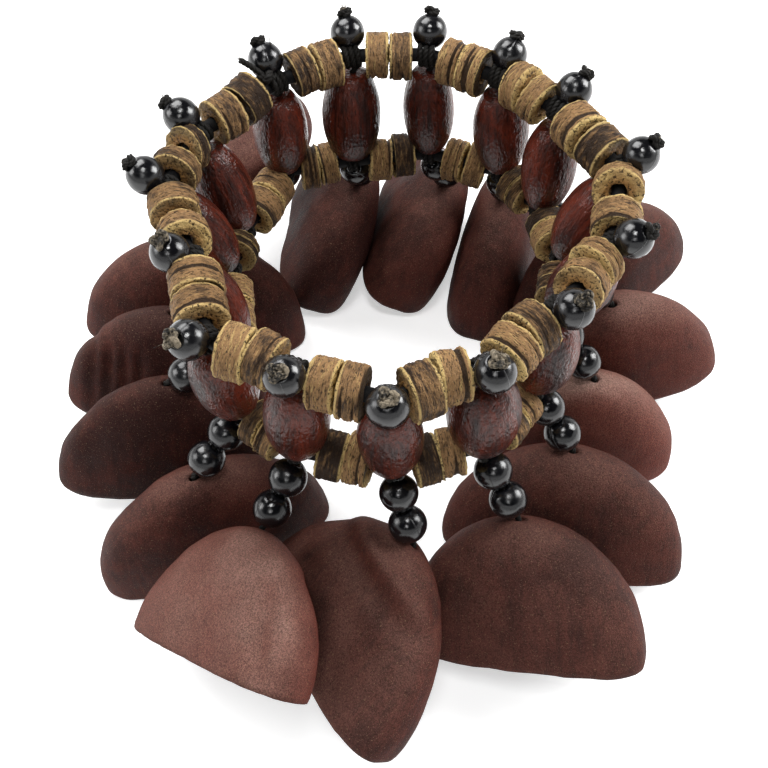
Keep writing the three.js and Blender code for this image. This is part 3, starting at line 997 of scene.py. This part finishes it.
class SHAKER_OT_discs(bpy.types.Operator):
    """Add the coconut discs of both strands"""

    bl_idname = "shaker.discs"
    bl_label = "Coconut discs"

    rounding = 0.25 * MM
    wear = 0.45 * MM
    layers = 0.35 * MM

    # The thickest disc as a share of the usual one, and the least play beside a disc
    thickest = 1.25
    play = 0.15 * MM

    def execute(self, context):
        sizes, colours = settings(context)
        tree, material = disc_tree(), disc_finish(colours)
        for strand, points, nominal, room, seed in (
            ("upper", upper_points, sizes.upper_disc, sizes.upper_room, 11),
            ("lower", lifted_points(sizes), sizes.lower_disc, sizes.lower_room, 12),
        ):
            cloud = self.lay_out(strand, points, nominal, room, random.Random(seed))
            piece = grown(
                strand + "_discs", cloud, tree,
                Diameter=sizes.disc_diameter, Thickness=nominal, Hole=sizes.disc_hole,
                Rounding=self.rounding, Wear=self.wear, Layers=self.layers,
                Seed=seed, Material=material,
            )
            seat(piece, "cuff", "coconut", strand + "_strand")
        return {"FINISHED"}

    def lay_out(self, strand, points, nominal, room, draw):
        places, turns, swells = [], [], []
        for i, point in enumerate(points):
            along = points[(i + 1) % len(points)] - point
            free = along.length - room
            along.normalize()
            thickness = min(nominal * self.thickest, free / 2 - self.play)
            thickness *= draw.uniform(0.92, 1.0)
            slack = free - 2 * thickness
            middle = room / 2 + free / 2 + slack * draw.uniform(-0.25, 0.25)
            pair = TIPPED_DISCS.get(i + 1) if strand == "upper" else None
            for k, side in enumerate((-1, 1)):
                share, lean, out, slid = pair[k] if pair else (1, 0, 0, 0)
                apart = middle + side * (thickness / 2 + min(slack / 4, 0.3 * MM))
                if pair:
                    apart = room / 2 + free * k - side * (thickness * share / 2 + slid * MM)
                spot = point + along * apart
                aside = any_way(draw)
                aside -= along * aside.dot(along)
                axis = along + aside * draw.uniform(0.0, 0.16) + UP * lean
                axis = (axis + stations[i].outwards * out).normalized()
                wide = draw.uniform(0.95, 1.04)
                places.append(spot + aside * 0.3 * MM)
                turns.append(turned_to(axis, draw.uniform(0, FULL_TURN)))
                swells.append((wide, wide * draw.uniform(0.97, 1.03), thickness * share / nominal))
        return points_mesh(strand + "_discs", places, turns, swells)


class SHAKER_OT_wooden_beads(bpy.types.Operator):
    """Add the oval wooden beads that stand between the strands"""

    bl_idname = "shaker.wooden_beads"
    bl_label = "Wooden beads"

    unevenness = 0.5 * MM

    def execute(self, context):
        sizes, colours = settings(context)
        tree, material = wood_tree(), wood_finish(colours)
        draw = random.Random(21)
        for k, station in enumerate(stations):
            name = "oval_bead_" + station.number
            wide = WOOD_WIDTHS[k]
            cloud = points_mesh(
                name,
                [station.wood],
                [turned_to(station.rise, draw.uniform(0, FULL_TURN))],
                [(wide, wide * draw.uniform(0.98, 1.02), draw.uniform(0.98, 1.01))],
            )
            piece = grown(
                name, cloud, tree,
                Length=sizes.wood_length, Diameter=sizes.wood_diameter, End=sizes.wood_end,
                Unevenness=self.unevenness, Seed=40 + k, Material=material,
            )
            seat(piece, "bead_" + station.number, "mahogany", "wooden_bead_" + station.number)
        return {"FINISHED"}


class SHAKER_OT_top_beads(bpy.types.Operator):
    """Add the black beads on top, their upright cords, knots and loose fibres"""

    bl_idname = "shaker.top_beads"
    bl_label = "Top beads"

    # The cord of the top knots, as a share of the upright cords'
    knot_share = 0.85
    straw_fibres = 14
    fibre = 0.11 * MM
    lashing_width = 2.6 * MM

    # The knot that closes the upper elastic
    tie_cord = 1.3 * MM
    tie_across = 3.0 * MM
    tail_cord = 1.1 * MM
    tail_length = 5 * MM
    tail_fibres = 8

    def execute(self, context):
        sizes, colours = settings(context)
        draw = random.Random(31)
        cloud, cords, knots, bare, hairs = self.string(sizes, draw)
        tie, tails, loose = self.tie_knot(draw)
        beads = grown(
            "top_beads", cloud, bead_tree(),
            Diameter=sizes.black_diameter, Bore=sizes.black_bore, Seed=51,
            Material=plastic_finish(colours),
        )
        seat(beads, "cuff", "black_bead")
        black = waxed_cord(colours)
        worn = cord_finish("cord_worn", colours.cord, colours.cord_worn, BARE_SHARE)
        knot_cord = sizes.cord * self.knot_share
        for name, paths, closed, diameter, material in (
            ("upright_cords", cords, False, sizes.cord, black),
            ("top_knots", knots, True, knot_cord, black),
            ("worn_knots", bare, True, knot_cord, worn),
            ("tie_knot", [tie], True, self.tie_cord, black),
            ("tie_tails", tails, False, self.tail_cord, black),
        ):
            mesh = paths_mesh(name, paths, closed)
            piece = grown(name, mesh, cord_tree(), Diameter=diameter, Material=material)
            seat(piece, "cuff", "black_bead")
        piece = grown(
            "knot_fibres", paths_mesh("knot_fibres", hairs + loose), line_tree(),
            Diameter=self.fibre, Tip=0.3, Sides=4, Material=worn,
        )
        seat(piece, "cuff", "black_bead")
        return {"FINISHED"}

    def string(self, sizes, draw):
        """Points for the beads, and paths for the cords, the knots and their fibres"""
        places, turns, swells, cords, knots, bare, hairs = [], [], [], [], [], [], []
        grip = (sizes.elastic + sizes.cord) / 2
        for i, station in enumerate(stations):
            rise = station.outwards * sizes.top_out + UP * sizes.top_up
            bead = station.upper + rise
            rise.normalize()
            places.append(bead)
            tip = (station.outwards * KNOT_LEANS[i] + UP).normalized()
            turns.append(turned_to(cone(draw, tip, BEAD_LEAN), draw.uniform(0, FULL_TURN)))
            swells.append((1, 1, draw.uniform(*BEAD_STRETCH)))
            across = sizes.worn_knot if i + 1 in WORN_KNOTS else sizes.top_knot
            knot = bead + tip * (sizes.black_diameter / 2 + across * 0.10)
            tangent = tangent_at(upper_points, i)
            cords.append(
                [knot, bead]
                + lashing(station.upper, tangent, rise, -station.rise, grip, 2, self.lashing_width)
                + [station.upper - station.rise * 3.5 * MM]
                + [station.wood, station.lower + station.rise * (sizes.lower_lift + 2.4 * MM)]
            )
            axis = cone(draw, tip, 0.25)
            tied = knot_path(knot, axis, across - sizes.cord, draw.uniform(0, FULL_TURN))
            (bare if i + 1 in WORN_KNOTS else knots).append(tied)
            straw = i + 1 == STRAW_KNOT
            for _ in range(self.straw_fibres if straw else draw.randint(3, 5)):
                aim = cone(draw, axis, 0.75)
                start = knot + aim * 0.4 * MM
                reach = draw.uniform(1.2, 2.6) * MM
                hairs.append(strand_of_hair(draw, start, aim * reach, 0.5 * MM))
        return points_mesh("top_beads", places, turns, swells), cords, knots, bare, hairs

    def tie_knot(self, draw):
        """The knot that closes the upper elastic, its two tails and their fibres"""
        end = stations[-1]
        along = (upper_points[-2] - end.upper).normalized()
        middle = end.upper + along * 1.8 * MM + UP * 1.8 * MM
        tie = knot_path(middle, (end.outwards + UP).normalized(), self.tie_across, 0.6)
        tails, loose = [], []
        for spread in (-40, 40):
            aim = end.outwards.copy()
            aim.rotate(Quaternion(UP, math.radians(spread)))
            aim = (aim + UP).normalized()
            side = along * math.copysign(0.8 * MM, spread)
            tail = curved(middle, aim * self.tail_length, side, 8)
            tails.append(tail)
            for _ in range(self.tail_fibres):
                hair = cone(draw, aim, 0.5)
                reach = draw.uniform(0.6, 1.5) * MM
                loose.append(strand_of_hair(draw, tail[-1], hair * reach, 0.4 * MM))
        return tie, tails, loose


class SHAKER_OT_chains(bpy.types.Operator):
    """Add the hanging cords with their black beads and the knots inside the shells"""

    bl_idname = "shaker.chains"
    bl_label = "Hanging chains"

    loop_width = 1.5 * MM

    def execute(self, context):
        sizes, colours = settings(context)
        plastic, black = plastic_finish(colours), waxed_cord(colours)
        draw = random.Random(61)
        grip = (sizes.elastic + sizes.cord) / 2
        for i, station in enumerate(stations):
            drops = (sizes.first_drop, sizes.second_drop)
            places = [station.lower + station.chain * drop for drop in drops]
            turns = [
                turned_to(cone(draw, station.chain, BEAD_LEAN), draw.uniform(0, FULL_TURN))
                for _ in places
            ]
            swells = [(1, 1, draw.uniform(*BEAD_STRETCH))] * 2
            name = "black_pair_" + station.number
            pair = grown(
                name, points_mesh(name, places, turns, swells), bead_tree(),
                Diameter=sizes.hung_diameter, Bore=sizes.black_bore, Seed=70 + i, Material=plastic,
            )
            body = "chain_" + station.number
            seat(pair, body, "black_bead", "hanging_beads_" + station.number)
            strand = lifted_points(sizes)
            tangent = tangent_at(strand, i)
            knot = station.hole - station.back * (sizes.shell_wall + sizes.shell_knot * 0.62)
            ways = (-station.chain, station.chain)
            loop = lashing(strand[i], tangent, *ways, grip, 1, self.loop_width)
            path = loop + [station.lower + station.chain * 6 * MM, station.hole, knot]
            name = "hanging_cord_" + station.number
            ends = [knot, knot - station.back * 2.2 * MM + station.long * 0.8 * MM]
            round_knot = knot_path(
                knot, station.back, sizes.shell_knot - sizes.cord, draw.uniform(0, FULL_TURN)
            )
            paths = [path, ends, round_knot + round_knot[:1]]
            mesh = paths_mesh(name, paths)
            piece = grown(name, mesh, cord_tree(), Diameter=sizes.cord, Material=black)
            seat(piece, body, "black_bead")
        return {"FINISHED"}


class SHAKER_OT_shells(bpy.types.Operator):
    """Add the half nut shells"""

    bl_idname = "shaker.shells"
    bl_label = "Nut shells"

    # Points round a shell, rows from its crown to its rim, and the angle where its hole ends
    sides = 96
    rows = 40
    hole_angle = 0.055

    # How square its flanks are, and how slim it is before the lumps are added
    flank_power = 2.5
    slimness = 0.97

    # Lumps as pairs of how many per mm and how strong, and their height
    lumps = ((0.10, 0.75), (0.33, 0.22))
    lump_height = 0.55 * MM

    # How rough the cut rim is in mm, and how uneven the wall is as a share
    rim_roughness = 0.15
    wall_unevenness = 0.25

    def execute(self, context):
        sizes, colours = settings(context)
        material = shell_finish(colours)
        for i, station in enumerate(stations):
            folds = SHELL_FOLDS.get(i + 1, ())
            ridges = SHELL_RIDGES.get(i + 1, ())
            mesh = self.shell_mesh(
                station, SHELL_FORMS[i], folds, ridges, sizes.shell_wall, 37.0 * (i + 1)
            )
            mesh.materials.append(material)
            piece = bpy.data.objects.new("half_shell_" + station.number, mesh)
            context.scene.collection.objects.link(piece)
            seat(piece, "bell_" + station.number, "nut_shell", "nut_shell_" + station.number)
        return {"FINISHED"}

    def shell_mesh(self, station, form, folds, ridges, wall, seed):
        chips, tone = form[3:5]
        t, phi, outer = self.plain_half(station, form)
        push = self.relief(t, phi, outer, folds, ridges, seed)
        outer = outer + self.normals(outer) * push[..., None]
        outer[..., 2] += self.rim_damage(t, outer, chips, seed) * MM
        normal = self.normals(outer)
        thick = wall * (1 + self.wall_unevenness * self.noise_at(outer, 0.2, seed + 3))
        inner = outer - normal * thick[..., None]
        rim = (outer[-1] * 0.55 + inner[-1] * 0.45)[None]
        outer[-1] += (inner[-1] - outer[-1]) * 0.10
        rings = np.concatenate([outer, rim, inner[::-1]])
        basis = np.stack([np.array(station.long), np.array(station.short), np.array(station.back)])
        places = rings.reshape(-1, 3) @ basis + np.array(station.hole)
        mesh = bpy.data.meshes.new("half_shell_" + station.number)
        mesh.from_pydata(places.tolist(), [], self.ring_faces(len(rings)))
        turn_outwards(mesh)
        mesh.shade_smooth()
        rim_and_inside = np.zeros((1 + self.rows, self.sides))
        facing = np.concatenate([normal @ basis[:, 2], rim_and_inside])
        inside = np.repeat([0.0, 1.0], [(self.rows + 1) * self.sides, self.rows * self.sides])
        self.note(mesh, "place", "FLOAT_VECTOR", rings.reshape(-1, 3) / MM)
        self.note(mesh, "chance", "FLOAT", np.full(len(places), (seed * 0.137) % 1))
        self.note(mesh, "tone", "FLOAT", np.full(len(places), tone))
        # Painted top light: how far each point of the outer surface faces up
        self.note(mesh, "top_light_share", "FLOAT", np.clip(facing, 0, 1) ** 2 * 0.5)
        self.note(mesh, "inside", "FLOAT", inside)
        return mesh

    def plain_half(self, station, form):
        """A smooth half nut: the share of the way down, the turn and the place of each point"""
        left, right, full, _, _, broad = form
        turn = np.linspace(0, 2 * np.pi, self.sides, endpoint=False)
        part = 1 - np.cos(np.linspace(self.hole_angle, np.pi / 2, self.rows))
        t, phi = np.meshgrid(part, turn, indexing="ij")
        lobe = (np.cos(phi) + 1) / 2
        power = left + (right - left) * lobe * lobe * (3 - 2 * lobe)
        ends, flanks = self.outline(phi, 2 + (full - 2) * np.sqrt(t))
        long = (1 - (1 - t) ** power) ** (1 / power) * station.width / 2 * ends
        swell = (1 - (1 - t) ** self.flank_power) ** (1 / self.flank_power)
        short = swell * station.thickness / 2 * flanks * self.slimness
        short = short * (1 + broad * np.clip(-np.cos(phi), 0, 1) * t)
        return t, phi, np.stack([long, short, -t * station.height], -1)

    def relief(self, t, phi, outer, folds, ridges, seed):
        """How far lumps, folds and ridges push each point out"""
        lumps = sum(self.noise_at(outer, per_mm, seed) * share for per_mm, share in self.lumps)
        push = lumps * self.lump_height * np.clip(t * 6, 0, 1)
        low = np.clip((t - 0.15) / 0.30, 0, 1) * np.clip((1.0 - t) / 0.25, 0, 1)
        for place, half, depth, drift in folds:
            aside = outer[..., 0] / MM - place - drift * (t - 0.5)
            push += depth * MM * np.exp(-((aside / half) ** 2)) * low * low * (3 - 2 * low)
        for side, middle, half, height in ridges:
            ridge = np.exp(-(((t - middle) / half) ** 2))
            groove = np.exp(-(((t - middle - 2.4 * half) / (1.4 * half)) ** 2))
            push += height * MM * (ridge - 0.8 * groove) * np.clip(side * np.sin(phi), 0, 1)
        return push

    def rim_damage(self, t, outer, chips, seed):
        """How far the cut edge is worn back, in mm"""
        edge = np.clip((t - 0.80) / 0.20, 0, 1) ** 3
        rough = np.abs(self.noise_at(outer, 0.5, seed + 5))
        bites = np.clip(np.abs(self.noise_at(outer, 0.16, seed + 7)) * 2 - 0.35, 0, 1)
        return edge * (rough * self.rim_roughness + bites * chips)

    def ring_faces(self, count):
        """Faces between rings of points, with the last ring closed to the first"""
        faces = []
        for r in range(count):
            here, after = r * self.sides, (r + 1) % count * self.sides
            for s in range(self.sides):
                e = (s + 1) % self.sides
                faces.append((here + s, after + s, after + e, here + e))
        return faces

    @staticmethod
    def outline(phi, power):
        """Rounded outline, fuller than an oval where the power is over 2"""
        c, s = np.cos(phi), np.sin(phi)
        reach = (np.abs(c) ** power + np.abs(s) ** power) ** (-1 / power)
        return c * reach, s * reach

    @staticmethod
    def note(mesh, name, kind, values):
        attribute = mesh.attributes.new(name, kind, "POINT")
        field = "vector" if kind == "FLOAT_VECTOR" else "value"
        attribute.data.foreach_set(field, np.asarray(values, np.float32).ravel())

    @staticmethod
    def noise_at(places, per_mm, seed):
        flat = places.reshape(-1, 3) / MM * per_mm
        shift = Vector((seed * 1.7, seed * 0.9, seed * 2.3))
        return np.array([noise.noise(Vector(p) + shift) for p in flat]).reshape(places.shape[:-1])

    @staticmethod
    def normals(grid):
        along = np.gradient(grid, axis=0)
        around = np.roll(grid, -1, 1) - np.roll(grid, 1, 1)
        normal = np.cross(around, along)
        normal /= np.linalg.norm(normal, axis=-1, keepdims=True)
        outward = grid[len(grid) // 2, 0]
        return normal if normal[len(grid) // 2, 0] @ outward > 0 else -normal


class SHAKER_PT_pieces(bpy.types.Panel):
    """Lists what the shaker is made of"""

    bl_idname = "SHAKER_PT_pieces"
    bl_label = "Wrist Shaker"
    bl_space_type = "VIEW_3D"
    bl_region_type = "UI"
    bl_category = "Shaker"

    def draw(self, context):
        for operator in OPERATORS:
            self.layout.operator(operator.bl_idname)
        for group in settings(context):
            for key in group.__annotations__:
                self.layout.prop(group, key)


OPERATORS = (
    SHAKER_OT_stage,
    SHAKER_OT_elastics,
    SHAKER_OT_discs,
    SHAKER_OT_wooden_beads,
    SHAKER_OT_top_beads,
    SHAKER_OT_chains,
    SHAKER_OT_shells,
)
CLASSES = (ShakerSizes, ShakerColours, *OPERATORS, SHAKER_PT_pieces)


def register():
    for item in CLASSES:
        bpy.utils.register_class(item)
    bpy.types.Scene.shaker_sizes = PointerProperty(type=ShakerSizes)
    bpy.types.Scene.shaker_colours = PointerProperty(type=ShakerColours)


def unregister():
    del bpy.types.Scene.shaker_colours
    del bpy.types.Scene.shaker_sizes
    for item in reversed(CLASSES):
        bpy.utils.unregister_class(item)


def main():
    register()
    bpy.ops.shaker.stage()
    bpy.ops.shaker.elastics()
    bpy.ops.shaker.discs()
    bpy.ops.shaker.wooden_beads()
    bpy.ops.shaker.top_beads()
    bpy.ops.shaker.chains()
    bpy.ops.shaker.shells()


if __name__ == "__main__":
    main()
